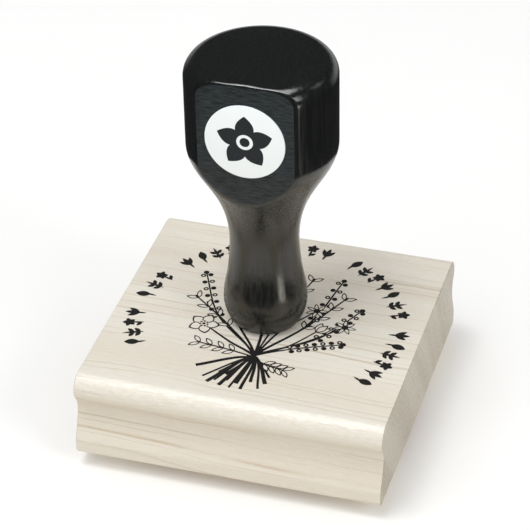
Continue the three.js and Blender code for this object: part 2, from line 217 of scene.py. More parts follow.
def loft(bm, rings, closed_ends=True):
    """Skin over rings of equally many points, with a face over each end where they are closed."""
    rows = [[bm.verts.new(p) for p in ring] for ring in rings]
    count = len(rows[0])
    for low, high in zip(rows, rows[1:]):
        for i in range(count):
            j = (i + 1) % count
            bm.faces.new((low[i], low[j], high[j], high[i]))
    if closed_ends:
        bm.faces.new(rows[0][::-1])
        bm.faces.new(rows[-1])
    return rows


def fan(bm, row, tip):
    """Triangles from a ring of corners to a point that closes it."""
    end = bm.verts.new(tip)
    for i in range(len(row)):
        bm.faces.new((row[i], row[(i + 1) % len(row)], end))


def turned(outline, x=0, segments=64):
    """A closed solid of revolution about the vertical line at x, y = 0, from (radius, height) pairs
    that start and end on it."""
    bm = bmesh.new()
    angles = [2 * math.pi * i / segments for i in range(segments)]
    rings = []
    for radius, height in outline[1:-1]:
        rings.append([(x + radius * math.cos(a), radius * math.sin(a), height) for a in angles])
    rows = loft(bm, rings, closed_ends=False)
    fan(bm, rows[0], (x, 0, outline[0][1]))
    fan(bm, rows[-1], (x, 0, outline[-1][1]))
    return bm


def carve(piece, cutter):
    """Cuts one closed piece out of another and removes the cutter."""
    modifier = piece.modifiers.new("cut", "BOOLEAN")
    modifier.operation = "DIFFERENCE"
    modifier.solver = "EXACT"
    modifier.object = cutter
    bpy.context.view_layer.update()
    evaluated = piece.evaluated_get(bpy.context.evaluated_depsgraph_get())
    mesh = bpy.data.meshes.new_from_object(evaluated)
    piece.modifiers.clear()
    piece.data = mesh
    bpy.data.objects.remove(cutter)


# ---------------------------------------------------------------- material helpers


class Shader:
    """A material with one Principled shader, and short ways to add the nodes that feed it."""

    def __init__(self, name, **constants):
        self.material = bpy.data.materials.new(name)
        self.material.use_nodes = True
        self.tree = self.material.node_tree
        self.principled = self.tree.nodes["Principled BSDF"]
        for socket, value in constants.items():
            self.principled.inputs[socket.replace("_", " ")].default_value = value

    def node(self, kind, inputs=(), **settings):
        made = self.tree.nodes.new(kind)
        for name, value in settings.items():
            setattr(made, name, value)
        for socket, value in dict(inputs).items():
            if isinstance(value, bpy.types.NodeSocket):
                self.tree.links.new(value, made.inputs[socket])
            else:
                made.inputs[socket].default_value = value
        return made

    def feed(self, socket, source):
        self.tree.links.new(source, self.principled.inputs[socket])

    def position(self):
        """The point on the piece, in millimetres."""
        place = self.node("ShaderNodeTexCoord").outputs["Object"]
        scaled = self.node("ShaderNodeVectorMath", {0: place, 3: 1 / MM}, operation="SCALE")
        return scaled.outputs[0]

    def split(self, vector):
        return self.node("ShaderNodeSeparateXYZ", {0: vector}).outputs

    def stretch(self, vector, factors):
        inputs = {0: vector, 1: factors}
        return self.node("ShaderNodeVectorMath", inputs, operation="MULTIPLY").outputs[0]

    def math(self, operation, a, b=0.0):
        return self.node("ShaderNodeMath", {0: a, 1: b}, operation=operation).outputs[0]

    def plus(self, a, b):
        return self.math("ADD", a, b)

    def times(self, a, b):
        return self.math("MULTIPLY", a, b)

    def noise(self, vector, scale=1.0, detail=2.0, roughness=0.5):
        inputs = {"Vector": vector, "Scale": scale, "Detail": detail, "Roughness": roughness}
        return self.node("ShaderNodeTexNoise", inputs).outputs[0]

    def noise_along(self, value, scale):
        """Noise over one number instead of a place."""
        inputs = {"W": value, "Scale": scale, "Detail": 1.0, "Roughness": 0.5}
        return self.node("ShaderNodeTexNoise", inputs, noise_dimensions="1D").outputs[0]

    def spread(self, value, low, high, to_low=0.0, to_high=1.0):
        """Eases from to_low, at low and under it, to to_high, at high and over it."""
        inputs = {0: value, 1: low, 2: high, 3: to_low, 4: to_high}
        return self.node("ShaderNodeMapRange", inputs, interpolation_type="SMOOTHSTEP").outputs[0]

    def mix(self, factor, a, b):
        """From colour a to colour b."""
        return self.node("ShaderNodeMix", {0: factor, 6: a, 7: b}, data_type="RGBA").outputs[2]

    def mix_numbers(self, factor, a, b):
        return self.node("ShaderNodeMix", {0: factor, 2: a, 3: b}, data_type="FLOAT").outputs[0]

    def bump(self, height, distance_mm, strength):
        inputs = {"Height": height, "Distance": distance_mm * MM, "Strength": strength}
        return self.node("ShaderNodeBump", inputs).outputs[0]


# ---------------------------------------------------------------- materials

PITH = (-129.0, -64.0)  # y and z of the tree's heart, which the growth rings go round
RING_TILT = 0.012  # how fast the rings drift across the board along X
RING_WIDTH = 2.5


def maple(name, end_grain=False):
    """Sanded pale maple. The grain is one solid figure, so it runs on round every edge. The colour also
    carries a painted mottled highlight along the bullnose and a faint painted sheen in the figure.
    """
    shader = Shader(name, IOR=1.5)
    place = shader.position()
    x, y, z = shader.split(place)
    warp = shader.noise(shader.stretch(place, (0.013, 0.045, 0.045)))
    ripple = shader.noise(shader.stretch(place, (0.07, 0.25, 0.25)), detail=1.0)
    across = shader.math("SUBTRACT", y, PITH[0])
    up = shader.math("SUBTRACT", z, PITH[1])
    squares = shader.plus(shader.times(across, across), shader.times(up, up))
    rings = shader.plus(shader.math("SQRT", squares), shader.times(x, RING_TILT))
    rings = shader.plus(rings, shader.times(warp, 5.0))
    rings = shader.plus(rings, shader.times(ripple, 0.8))

    uneven = shader.times(shader.noise_along(rings, 0.3), 2.2)
    year = shader.math("FRACT", shader.plus(shader.math("DIVIDE", rings, RING_WIDTH), uneven))
    late_wood = shader.math("POWER", year, 12.0)
    bands = shader.spread(shader.noise_along(rings, 0.11), 0.35, 0.7)
    faint = shader.noise(shader.stretch(place, (0.03, 0.12, 0.12)), detail=1.0)
    late_wood = shader.times(late_wood, shader.spread(faint, 0.36, 0.62, 0.2, 1.0))
    fibre = shader.noise(shader.stretch(place, (0.25, 3.6, 3.6)), detail=3.0, roughness=0.65)
    figure = shader.noise(shader.stretch(place, (0.6, 1.4, 1.4)), roughness=0.6)
    # The bullnose's upper round: where the highlight is painted into the colour and the bump is stronger.
    nose = shader.spread(shader.math("ABSOLUTE", y), BLOCK_HIGH.y - 5.5, BLOCK_HIGH.y - 3.0)
    nose = shader.times(nose, shader.spread(z, BLOCK_HIGH.z - 4.5, BLOCK_HIGH.z - 2.5))

    if end_grain:
        pale = (0.49, 0.455, 0.375, 1)
        warm = (0.42, 0.38, 0.30, 1)
        line = (0.28, 0.235, 0.165, 1)
        pores = shader.noise(shader.stretch(place, (0.4, 2.6, 2.6)), detail=3.0, roughness=0.7)
        contrast = 0.7
    else:
        pale = (0.752, 0.712, 0.630, 1)
        warm = (0.715, 0.660, 0.565, 1)
        line = (0.45, 0.34, 0.21, 1)
        pores = fibre
        contrast = 0.82
    colour = shader.mix(bands, pale, warm)
    colour = shader.mix(shader.times(late_wood, contrast), colour, line)
    colour = shader.mix(shader.spread(pores, 0.48, 0.85, 0.0, 0.28), colour, line)
    # Painted highlight: mottled near-white painted along the bullnose, plus a fainter painted sheen in the
    # figure's brighter spots all over.
    painted_sheen = shader.times(shader.times(nose, shader.spread(figure, 0.44, 0.56)), 0.16)
    painted_sheen = shader.plus(painted_sheen, shader.spread(figure, 0.5, 0.8, 0.0, 0.16))
    colour = shader.mix(painted_sheen, colour, (0.90, 0.88, 0.83, 1))
    shader.feed("Base Color", colour)
    shader.feed("Roughness", shader.spread(figure, 0.35, 0.65, 0.46, 0.30))
    relief = shader.plus(fibre, shader.times(late_wood, -0.6))
    dapple = shader.plus(shader.times(nose, 3.5), 1.2)
    relief = shader.plus(relief, shader.times(figure, dapple))
    shader.feed("Normal", shader.bump(relief, 0.05, 0.8))
    return shader.material


def lacquer():
    """Gloss black lacquer over turned wood, duller at the foot and in the flare, warm below the knob.
    The label's flat has a dull and coarse coat of its own."""
    shader = Shader("black_lacquer", IOR=1.6)
    place = shader.position()
    x, y, z = shader.split(place)
    flat = shader.spread(y, -FLAT_DISTANCE + 0.03, -FLAT_DISTANCE + 0.10, 1.0, 0.0)
    streaks = shader.noise(shader.stretch(place, (1.5, 1.5, 0.07)), roughness=0.55)
    grain = shader.noise(shader.stretch(place, (0.35, 1.5, 3.2)), detail=3.0, roughness=0.65)
    orange_peel = shader.noise(place, scale=0.35, detail=1.0)

    gloss_tones = (0.0080, 0.0094, 0.0092, 1), (0.0118, 0.0128, 0.0122, 1)
    flat_tones = (0.003, 0.0066, 0.0086, 1), (0.027, 0.040, 0.046, 1)
    gloss_colour = shader.mix(shader.spread(streaks, 0.4, 0.7), *gloss_tones)
    flat_colour = shader.mix(shader.spread(grain, 0.36, 0.66), *flat_tones)
    shader.feed("Base Color", shader.mix(flat, gloss_colour, flat_colour))
    gloss_rough = shader.spread(streaks, 0.3, 0.8, 0.14, 0.25)
    foot = HANDLE_LOW.z
    flare_top = HANDLE_HIGH.z - KNOB_HEIGHT
    dull_flare = shader.times(
        shader.spread(z, foot + 24, foot + 32, 0.0, 0.08),
        shader.spread(z, flare_top - 4, flare_top, 1.0, 0.0),
    )
    dull = shader.plus(shader.spread(z, foot + 3, foot + 8, 0.2, 0.0), dull_flare)
    gloss_rough = shader.plus(gloss_rough, dull)
    neck = shader.spread(z, flare_top - 2, flare_top + 2, 1.0, 0.0)
    shader.feed("Specular Tint", shader.mix(neck, (1, 1, 1, 1), (1.0, 0.94, 0.84, 1)))
    flat_rough = shader.spread(grain, 0.3, 0.7, 0.62, 0.46)
    shader.feed("Roughness", shader.mix_numbers(flat, gloss_rough, flat_rough))
    waves = shader.plus(shader.times(streaks, 0.3), orange_peel)
    shader.feed("Normal", shader.bump(shader.mix_numbers(flat, waves, grain), 0.05, 0.6))
    return shader.material


def vinyl():
    """White label film, with a faint unevenness from the wood under it."""
    shader = Shader("label_vinyl", IOR=1.46)
    place = shader.position()
    cloud = shader.noise(place, scale=0.3)
    shader.feed("Base Color", shader.mix(cloud, (0.875, 0.940, 0.985, 1), (0.905, 0.965, 1.0, 1)))
    shader.feed("Roughness", shader.spread(cloud, 0.3, 0.7, 0.30, 0.42))
    shader.feed("Normal", shader.bump(shader.noise(place, scale=1.6), 0.01, 0.5))
    return shader.material


def ink(name, colour, patchy=0.35):
    """Printed ink: nearly black, a little thinner in places."""
    shader = Shader(name, IOR=1.3)
    place = shader.position()
    thin = shader.noise(place, scale=2.2, detail=3.0, roughness=0.7)
    light = tuple(c * 2.6 + 0.004 for c in colour[:3]) + (1,)
    shader.feed("Base Color", shader.mix(shader.spread(thin, 0.5, 0.85, 0.0, patchy), colour, light))
    shader.feed("Roughness", shader.spread(thin, 0.3, 0.7, 0.62, 0.80))
    shader.feed("Normal", shader.bump(thin, 0.01, 0.5))
    return shader.material


def rubber():
    """Brick-red stamp rubber with a fine matt skin."""
    shader = Shader("die_rubber", IOR=1.5)
    place = shader.position()
    cloud = shader.noise(place, scale=0.16, detail=3.0)
    skin = shader.noise(place, scale=4.5)
    shader.feed("Base Color", shader.mix(cloud, (0.30, 0.062, 0.042, 1), (0.36, 0.085, 0.058, 1)))
    shader.feed("Roughness", shader.spread(skin, 0.3, 0.7, 0.55, 0.78))
    shader.feed("Normal", shader.bump(skin, 0.03, 0.6))
    return shader.material


def foam():
    """Closed-cell grey foam: small round cells that catch the light, with painted shade in the bottom of
    each cell.
    """
    shader = Shader("cushion_foam", IOR=1.4)
    place = shader.position()
    cells = shader.node("ShaderNodeTexVoronoi", {"Vector": place, "Scale": 3.2}).outputs[0]
    cloud = shader.noise(place, scale=0.4)
    colour = shader.mix(cloud, (0.24, 0.25, 0.265, 1), (0.32, 0.33, 0.345, 1))
    # Painted shade: each cell pit is darkened towards its bottom.
    shader.feed("Base Color", shader.mix(shader.spread(cells, 0.0, 0.45), (0.12, 0.125, 0.13, 1), colour))
    shader.feed("Roughness", shader.spread(cloud, 0.3, 0.7, 0.85, 0.96))
    shader.feed("Normal", shader.bump(cells, 0.12, 0.8))
    return shader.material


def film():
    """Thin milky adhesive film with small trapped bubbles."""
    shader = Shader("adhesive_film", IOR=1.45)
    place = shader.position()
    bubbles = shader.node("ShaderNodeTexVoronoi", {"Vector": place, "Scale": 0.9}).outputs[0]
    dots = shader.spread(bubbles, 0.06, 0.14, 1.0, 0.0)
    shader.feed("Base Color", shader.mix(dots, (0.66, 0.62, 0.52, 1), (0.78, 0.76, 0.68, 1)))
    shader.feed("Roughness", shader.spread(shader.noise(place, scale=0.8), 0.3, 0.7, 0.32, 0.5))
    shader.feed("Normal", shader.bump(dots, 0.02, 0.5))
    return shader.material


def steel():
    """Zinc-plated screw steel with fine turning marks round its axis."""
    shader = Shader("screw_steel", Metallic=1.0)
    place = shader.position()
    marks = shader.noise(shader.stretch(place, (0.4, 0.4, 9.0)))
    spots = shader.noise(place, scale=1.4, detail=3.0)
    shader.feed("Base Color", shader.mix(spots, (0.56, 0.57, 0.58, 1), (0.68, 0.69, 0.70, 1)))
    shader.feed("Roughness", shader.spread(marks, 0.3, 0.7, 0.24, 0.40))
    shader.feed("Normal", shader.bump(marks, 0.015, 0.5))
    return shader.material


def paper_floor():
    """Plain pale studio floor."""
    shader = Shader("floor_paper", Specular_IOR_Level=0.2)
    place = shader.position()
    cloud = shader.noise(place, scale=0.02)
    shader.feed("Base Color", shader.mix(cloud, (0.90, 0.90, 0.895, 1), (0.92, 0.92, 0.915, 1)))
    shader.feed("Roughness", shader.spread(cloud, 0.3, 0.7, 0.8, 0.9))
    return shader.material


# ---------------------------------------------------------------- block


def moulding_edge():
    """One side of the moulding from its foot up: (distance outside the plinth, height)."""
    crease_out = -NOSE_INSET - NOSE_RADIUS * (1 - math.cos(NOSE_WRAP))
    crease_height = BLOCK_HEIGHT - NOSE_RADIUS * (1 + math.sin(NOSE_WRAP))
    cove_height = crease_height - COVE_DROP
    rise = cove_height - PLINTH_HEIGHT
    edge = arc((-PLINTH_ROUND, PLINTH_ROUND), PLINTH_ROUND, -math.pi / 2, 0, 8)
    edge.append((0, PLINTH_HEIGHT))
    edge += bezier(
        (0, PLINTH_HEIGHT),
        (0, PLINTH_HEIGHT + COVE_SWEEP[0] * rise),
        (-COVE_DEPTH, cove_height - COVE_SWEEP[1] * rise),
        (-COVE_DEPTH, cove_height),
        20,
    )
    edge += bezier(
        (-COVE_DEPTH, cove_height),
        (-COVE_DEPTH, cove_height + COVE_TURN * COVE_DROP),
        (crease_out - CREASE_RUN[0], crease_height - CREASE_RUN[1]),
        (crease_out, crease_height),
        10,
    )
    nose = (-NOSE_INSET - NOSE_RADIUS, BLOCK_HEIGHT - NOSE_RADIUS)
    return edge + arc(nose, NOSE_RADIUS, -NOSE_WRAP, math.pi / 2, 28)[1:]


def inset(outline, distance):
    """A closed outline, anticlockwise, moved inwards."""
    moved = []
    count = len(outline)
    for i in range(count):
        before, here, after = (Vector(outline[(i + k) % count]) for k in (-1, 0, 1))
        first, second = (here - before).normalized(), (after - here).normalized()
        inward = Vector((-(first.y + second.y), first.x + second.x))
        inward = inward.normalized() * distance / max(MITRE_LIMIT, math.cos(first.angle(second) / 2))
        moved.append(here + inward)
    return moved


def make_block(wood, end_wood):
    """The moulding swept along X, end wood on its sawn ends, drilled and countersunk from below."""
    half = BLOCK_HIGH.y
    edge = moulding_edge()
    section = [(-half - u, z) for u, z in reversed(edge)] + [(half + u, z) for u, z in edge]
    rings = []
    for step in range(END_STEPS + 1):
        angle = math.pi / 2 * step / END_STEPS
        inwards = END_ROUND * (1 - math.sin(angle))
        x = BLOCK_LOW.x + END_ROUND * (1 - math.cos(angle))
        ring = inset(section, inwards) if step < END_STEPS else section
        rings.append([(x, p[0], BLOCK_LOW.z + p[1]) for p in ring])
    rings += [[(-x, y, z) for x, y, z in ring] for ring in reversed(rings)]
    bm = bmesh.new()
    loft(bm, rings)
    for face in bm.faces:
        if abs(face.calc_center_median().x) > BLOCK_HIGH.x - 0.6 * END_ROUND:
            face.material_index = 1
    block = make_object("block_maple", bm, [wood, end_wood], sharp=32)
    wide = SCREW_HEAD_RADIUS + SCREW_CLEARANCE
    narrow = HOLE_RADIUS
    sink = SCREW_LOW.z + SCREW_HEAD_RIM
    below = BLOCK_LOW.z - 1
    above = BLOCK_HIGH.z + 1
    hole = [(0, below), (wide, below), (wide, sink)]
    hole += [(narrow, sink + SCREW_HEAD_RADIUS - SCREW_RADIUS), (narrow, above), (0, above)]
    carve(block, make_object("hole_cutter", turned(hole, HANDLE_AXIS_X), []))
    even = block.modifiers.new("even_normals", "WEIGHTED_NORMAL")
    even.weight = 100
    even.keep_sharp = True
    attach(block, "root")
    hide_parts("block")


# ---------------------------------------------------------------- handle


def handle_outline():
    """The turned outline as (radius, height above the foot), from the foot's rim to the top's middle."""
    knob_start = HANDLE_HEIGHT - KNOB_HEIGHT
    neck = knob_start - FLARE_HEIGHT
    waist = neck - FOOT_WIDEST
    outline = [(FOOT_EDGE_RADIUS, 0.0)]
    outline += bezier(
        (FOOT_EDGE_RADIUS, 0),
        (FOOT_RADIUS - FOOT_SPREAD, FOOT_SWEEP[0] * FOOT_WIDEST),
        (FOOT_RADIUS, FOOT_SWEEP[1] * FOOT_WIDEST),
        (FOOT_RADIUS, FOOT_WIDEST),
        12,
    )
    outline += bezier(
        (FOOT_RADIUS, FOOT_WIDEST),
        (FOOT_RADIUS, FOOT_WIDEST + WAIST_SWEEP[0] * waist),
        (NECK_RADIUS, neck - WAIST_SWEEP[1] * waist),
        (NECK_RADIUS, neck),
        22,
    )
    outline += bezier(
        (NECK_RADIUS, neck),
        (NECK_RADIUS, neck + FLARE_SWEEP[0] * FLARE_HEIGHT),
        (KNOB_RADIUS, knob_start - FLARE_SWEEP[1] * FLARE_HEIGHT),
        (KNOB_RADIUS, knob_start),
        36,
    )
    shoulder = HANDLE_HEIGHT - CROWN_RISE - KNOB_ROUND
    wall = [(KNOB_RADIUS, knob_start + (shoulder - knob_start) * i / 10) for i in range(1, 10)]
    outline += wall + arc((KNOB_RADIUS - KNOB_ROUND, shoulder), KNOB_ROUND, 0, math.pi / 2, 18)
    rim = KNOB_RADIUS - KNOB_ROUND
    for i in range(1, CROWN_STEPS + 1):
        radius = rim * (1 - i / CROWN_STEPS)
        outline.append((radius, shoulder + KNOB_ROUND + CROWN_RISE * (1 - (radius / rim) ** 2)))
    return outline


class HandleForm:
    """The handle as a solid of revolution with an eased flat, told by how far a point is outside it."""

    def __init__(self):
        closed = np.array([(0.0, 0.0)] + handle_outline())
        self.starts = closed[:-1]
        self.runs = closed[1:] - closed[:-1]
        self.lengths = (self.runs**2).sum(1)

    def outside(self, points):
        """Signed distance of (n, 3) points, with the axis at x = y = 0 and the foot at z = 0."""
        flat = -points[:, 1] - FLAT_DISTANCE
        spot = np.stack([np.hypot(points[:, 0], points[:, 1]), points[:, 2]], 1)
        rel = spot[:, None, :] - self.starts[None]
        t = np.clip((rel * self.runs).sum(2) / self.lengths, 0, 1)
        off = rel - t[:, :, None] * self.runs
        distances = (off**2).sum(2)
        nearest = distances.argmin(1)
        rows = np.arange(len(spot))
        run, side = self.runs[nearest], rel[rows, nearest]
        turn = run[:, 0] * side[:, 1] - run[:, 1] * side[:, 0]
        body = np.sqrt(distances[rows, nearest]) * np.where(turn > 0, -1, 1)
        overlap = np.maximum(FLAT_EDGE - np.abs(body - flat), 0) / FLAT_EDGE
        return np.maximum(body, flat) + overlap**2 * FLAT_EDGE / 4

    def surface(self, origins, directions, reach):
        """Where rays from inside the handle come out of it."""
        low = np.zeros(len(origins))
        high = np.full(len(origins), reach)
        for _ in range(HALVINGS):
            middle = (low + high) / 2
            inside = self.outside(origins + directions * middle[:, None]) < 0
            low = np.where(inside, middle, low)
            high = np.where(inside, high, middle)
        return origins + directions * low[:, None]


def column_angles(radius):
    """Angles round the handle from the middle of the flat, gathered where the flat's edge is."""
    ease = min(EASE_REACH / radius, EASE_LIMIT)
    edge = max(math.acos(min(1.0, FLAT_DISTANCE / radius)), 1.5 * ease)
    marks = [0, edge - ease, edge + ease, math.pi]
    half = []
    for start, end, count in zip(marks, marks[1:], COLUMNS):
        half += [start + (end - start) * i / count for i in range(count)]
    return half + [math.pi] + [2 * math.pi - a for a in reversed(half[1:])]


def make_handle(coat):
    """The handle's skin, found along rays from its axis, with a pilot hole in its foot."""
    origins, directions = [], []
    circles = handle_outline()[:-1]
    for radius, height in circles:
        start = min(height, HANDLE_HEIGHT - FAN_DEPTH)
        for angle in column_angles(radius):
            way = Vector((radius * math.sin(angle), -radius * math.cos(angle), height - start))
            origins.append((0, 0, start))
            directions.append(tuple(way.normalized()))
    points = HandleForm().surface(np.array(origins), np.array(directions), 2 * KNOB_RADIUS)
    place = Vector((HANDLE_AXIS_X, 0, HANDLE_LOW.z))
    rings = [[Vector(p) + place for p in ring] for ring in points.reshape(len(circles), -1, 3)]
    for point in rings[0]:
        point.z = HANDLE_LOW.z
    bm = bmesh.new()
    skin = loft(bm, rings, closed_ends=False)
    fan(bm, skin[0], place)
    fan(bm, skin[-1], (place.x, place.y, HANDLE_HIGH.z))
    handle = make_object("handle_lacquered", bm, [coat], sharp=50)
    below = HANDLE_LOW.z - 1
    bottom = HANDLE_LOW.z + PILOT_DEPTH
    pilot = [(0, below), (HOLE_RADIUS, below), (HOLE_RADIUS, bottom), (0, bottom + PILOT_POINT)]
    carve(handle, make_object("pilot_cutter", turned(pilot, HANDLE_AXIS_X), []))
    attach(handle, "root")
    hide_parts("handle")


# ---------------------------------------------------------------- artwork
# A drawing is a list of (outline, inked) in painting order: a later outline covers the earlier ones.


def disc(x, y, radius, points=20):
    return arc((x, y), radius, 0, 2 * math.pi * (points - 1) / points, points - 1)


def leaf(x, y, angle, length, width, steps=7):
    """A pointed oval that starts at x, y and grows along the angle."""
    tip = (x + length * math.cos(angle), y + length * math.sin(angle))
    side = (-width * math.sin(angle), width * math.cos(angle))
    outline = []
    for sign, (a, b) in ((-1, ((x, y), tip)), (1, (tip, (x, y)))):
        middle = ((x + tip[0]) / 2 + sign * side[0], (y + tip[1]) / 2 + sign * side[1])
        for i in range(steps):
            t = i / steps
            first, second, third = (1 - t) ** 2, 2 * t * (1 - t), t * t
            outline.append(tuple(first * a[k] + second * middle[k] + third * b[k] for k in (0, 1)))
    return outline


def drawn_leaf(x, y, angle, length, width, line):
    """A leaf drawn in outline."""
    start = (x + 1.6 * line * math.cos(angle), y + 1.6 * line * math.sin(angle))
    inner = leaf(start[0], start[1], angle, length - 3.4 * line, width - 1.9 * line)
    return [(leaf(x, y, angle, length, width), True), (inner, False)]


def drawn_petals(x, y, turn, petals, size, line):
    """Petals round a centre, drawn in outline."""
    shapes = []
    for i in range(petals):
        shapes += drawn_leaf(x, y, turn + 2 * math.pi * i / petals, *size, line)
    return shapes


# The ring's marks by turns: a leaf, a sprig, a blossom, a bud. All are made of leaves, each given as
# (start, spread, length, width). Start and length are shares of the mark's height, the start along the
# mark's own line, and the spread is an angle off that line.
MARK_STALK = (0, 0, 0.6, 0.6)
MARK_LEAF = (0.28, 0.22, 0.72, 2.1)
SPRIG_STALK = (0, 0, 1, 0.8)
SPRIG_LEAVES = [(start, spread, 0.4, 1.05) for start in (0.16, 0.46) for spread in (0.85, -0.85)]
BLOSSOM_LEAF = (0.1, 0.8, 0.36, 0.95)
BLOSSOM_PETALS = [(0.69, 2 * math.pi * i / 5, 0.31, 1.15) for i in range(5)]
BUD_PETALS = [(0.3, 0.5, 0.62, 1.15), (0.3, -0.5, 0.62, 1.15), (0.3, 0, 0.7, 1.2)]


def mirrored(leaf_plan):
    start, spread, length, width = leaf_plan
    return (start, -spread, length, width)


MARKS = (
    [MARK_STALK, mirrored(MARK_LEAF)],
    [SPRIG_STALK] + SPRIG_LEAVES,
    [MARK_STALK, BLOSSOM_LEAF] + BLOSSOM_PETALS,
    [MARK_STALK] + BUD_PETALS,
    [MARK_STALK, MARK_LEAF],
    [SPRIG_STALK] + SPRIG_LEAVES,
    [MARK_STALK, mirrored(BLOSSOM_LEAF)] + BLOSSOM_PETALS,
    [MARK_STALK] + BUD_PETALS,
)


def ring_mark(index, angle):
    """One mark of the ring, standing outwards at the angle."""
    shapes = []
    for start, spread, length, width in MARKS[index % len(MARKS)]:
        radius = RING_RADIUS - MARK_HEIGHT / 2 + start * MARK_HEIGHT
        x = radius * math.cos(angle)
        y = DIE_CENTRE_Y + radius * math.sin(angle)
        shapes.append((leaf(x, y, angle + spread, length * MARK_HEIGHT, width), True))
    return shapes


def ring():
    """The marks round the artwork, in groups with a slot left free between them."""
    slots = sum(MARK_GROUPS) + len(MARK_GROUPS) - 2
    shapes = []
    slot = index = 0
    for group in MARK_GROUPS:
        for _ in range(group):
            shapes += ring_mark(index, RING_START + (RING_END - RING_START) * slot / slots)
            slot += 1
            index += 1
        slot += 1
    return shapes


# Stems of the bouquet: foot, tip, what grows along the upper part, and how far the stem bows outwards.
STEMS = (
    ((5.4, -28.6), (-20.8, 13.6), "berries", 0.25),
    ((3.0, -26.6), (-20.4, 3.6), "leaves", -0.1),
    ((6.6, -26.4), (-14.8, -7.2), "flower", 0.05),
    ((6.9, -23.8), (-14.2, -14.6), "leaves", -0.25),
    ((1.4, -29.8), (-11.4, 17.6), "leaves", 0.45),
    ((-0.2, -28.0), (-1.2, 19.8), "berries", 0.3),
    ((-1.4, -29.9), (6.4, 18.2), "leaves", -0.2),
    ((-2.8, -27.4), (13.8, 19.0), "berries", 0.4),
    ((-4.0, -29.6), (16.6, 12.4), "leaves", 0.1),
    ((-5.6, -28.0), (21.4, 8.0), "berries", 0.3),
    ((-3.6, -25.2), (10.6, 5.0), "daisy", -0.25),
    ((-7.2, -29.0), (19.0, 0.2), "daisy", 0.1),
    ((-8.8, -27.2), (20.4, -6.6), "berries", -0.15),
    ((-5.4, -24.8), (12.6, -3.6), "bud", 0.2),
    ((-11.6, -23.6), (9.4, -20.2), "leaves", -0.1),
)


def knot_gap(start, end):
    """How much of the curve's parameter lies between two knots, for a curve without loops."""
    return math.sqrt(max((end - start).length, 1e-6))


def stem_curve(foot, tip, bow):
    """Points of a smooth stem from its foot through the tie, bowed outwards on its way to the tip."""
    tied = (TIE[0] + TIE_SPREAD * (foot[0] - FEET_MIDDLE), TIE[1] + TIE_RISE * TIE_SPREAD * bow)
    through = (
        tied[0] + (tip[0] - tied[0]) * (1 + bow) / 2,
        tied[1] + (tip[1] - tied[1]) * (1 - bow / 3) / 2,
    )
    knots = [Vector(p) for p in (foot, tied, through, tip)]
    knots = [2 * knots[0] - knots[1]] + knots + [2 * knots[-1] - knots[-2]]
    points = []
    for before, start, end, after in zip(knots, knots[1:], knots[2:], knots[3:]):
        first, gap, last = knot_gap(before, start), knot_gap(start, end), knot_gap(end, after)
        leave = (start - before) / first - (end - before) / (first + gap) + (end - start) / gap
        arrive = (end - start) / gap - (after - start) / (gap + last) + (after - end) / last
        for i in range(STEM_STEPS):
            t = i / STEM_STEPS
            points.append(
                (2 * t**3 - 3 * t**2 + 1) * start
                + (t**3 - 2 * t**2 + t) * (leave * gap)
                + (3 * t**2 - 2 * t**3) * end
                + (t**3 - t**2) * (arrive * gap)
            )
    return points + [knots[-2]]


def band(points, start_width, end_width):
    """A stroke along points that narrows from its start to its end, as one outline."""
    left, right = [], []
    last = len(points) - 1
    for i, point in enumerate(points):
        along = (points[min(i + 1, last)] - points[max(i - 1, 0)]).normalized()
        half = (start_width + (end_width - start_width) * i / last) / 2
        side = Vector((-along.y, along.x)) * half
        left.append(tuple(point + side))
        right.append(tuple(point - side))
    return right + left[::-1]


def side_pairs(points, pairs, step):
    """Places in pairs down a stem from its tip, as (point, the stem's direction there, side)."""
    last = len(points) - 1
    places = []
    for pair in range(pairs):
        place = last * (TOP_PAIR - step * pair)
        low = min(int(place), last - 1)
        along = points[low + 1] - points[low]
        for side in (-1, 1):
            point = points[low].lerp(points[low + 1], place - low)
            places.append((point, math.atan2(along.y, along.x), side))
    return places


def leaves_on(points):
    shapes = []
    for point, angle, side in side_pairs(points, LEAF_PAIRS, LEAF_STEP):
        shapes += drawn_leaf(*point, angle + side * LEAF_SPREAD, *LEAF_SIZE, LEAF_LINE)
    return shapes


def berries_on(points):
    """Berries in pairs, with one more at the tip. One of each pair is hollow, on either side by turns."""
    shapes = [(disc(*points[-1], TOP_BERRY_RADIUS), True)]
    for number, (point, angle, side) in enumerate(side_pairs(points, BERRY_PAIRS, BERRY_STEP)):
        x = point.x + BERRY_REACH * math.cos(angle + side * BERRY_SPREAD)
        y = point.y + BERRY_REACH * math.sin(angle + side * BERRY_SPREAD)
        shapes.append((disc(x, y, BERRY_RADIUS, 14), True))
        if number % 4 in (1, 2):
            shapes.append((disc(x, y, BERRY_HOLLOW, 8), False))
    return shapes


def daisy_at(x, y, turn):
    """A daisy: narrow petals drawn in outline round a solid eye."""
    eye = (disc(x, y, DAISY_EYE), True)
    return drawn_petals(x, y, turn, DAISY_PETALS, DAISY_SIZE, DAISY_LINE) + [eye]


def flower_at(x, y, turn):
    """An open flower: broad petals drawn in outline round a ring of stamens."""
    shapes = drawn_petals(x, y, turn, FLOWER_PETALS, FLOWER_SIZE, FLOWER_LINE)
    shapes.append((disc(x, y, FLOWER_EYE), False))
    for i in range(STAMENS):
        angle = turn + 2 * math.pi * i / STAMENS
        centre = (x + STAMEN_REACH * math.cos(angle), y + STAMEN_REACH * math.sin(angle))
        shapes.append((disc(*centre, STAMEN_RADIUS, 8), True))
    shapes.append((disc(x, y, PISTIL_RADIUS, 12), True))
    return shapes


def bud_at(x, y, turn):
    """A closed bud: three petals one behind the other."""
    shapes = []
    for spread in (-BUD_SPREAD, BUD_SPREAD, 0.0):
        shapes += drawn_leaf(x, y, turn + spread, *BUD_SIZE, BUD_LINE)
    return shapes


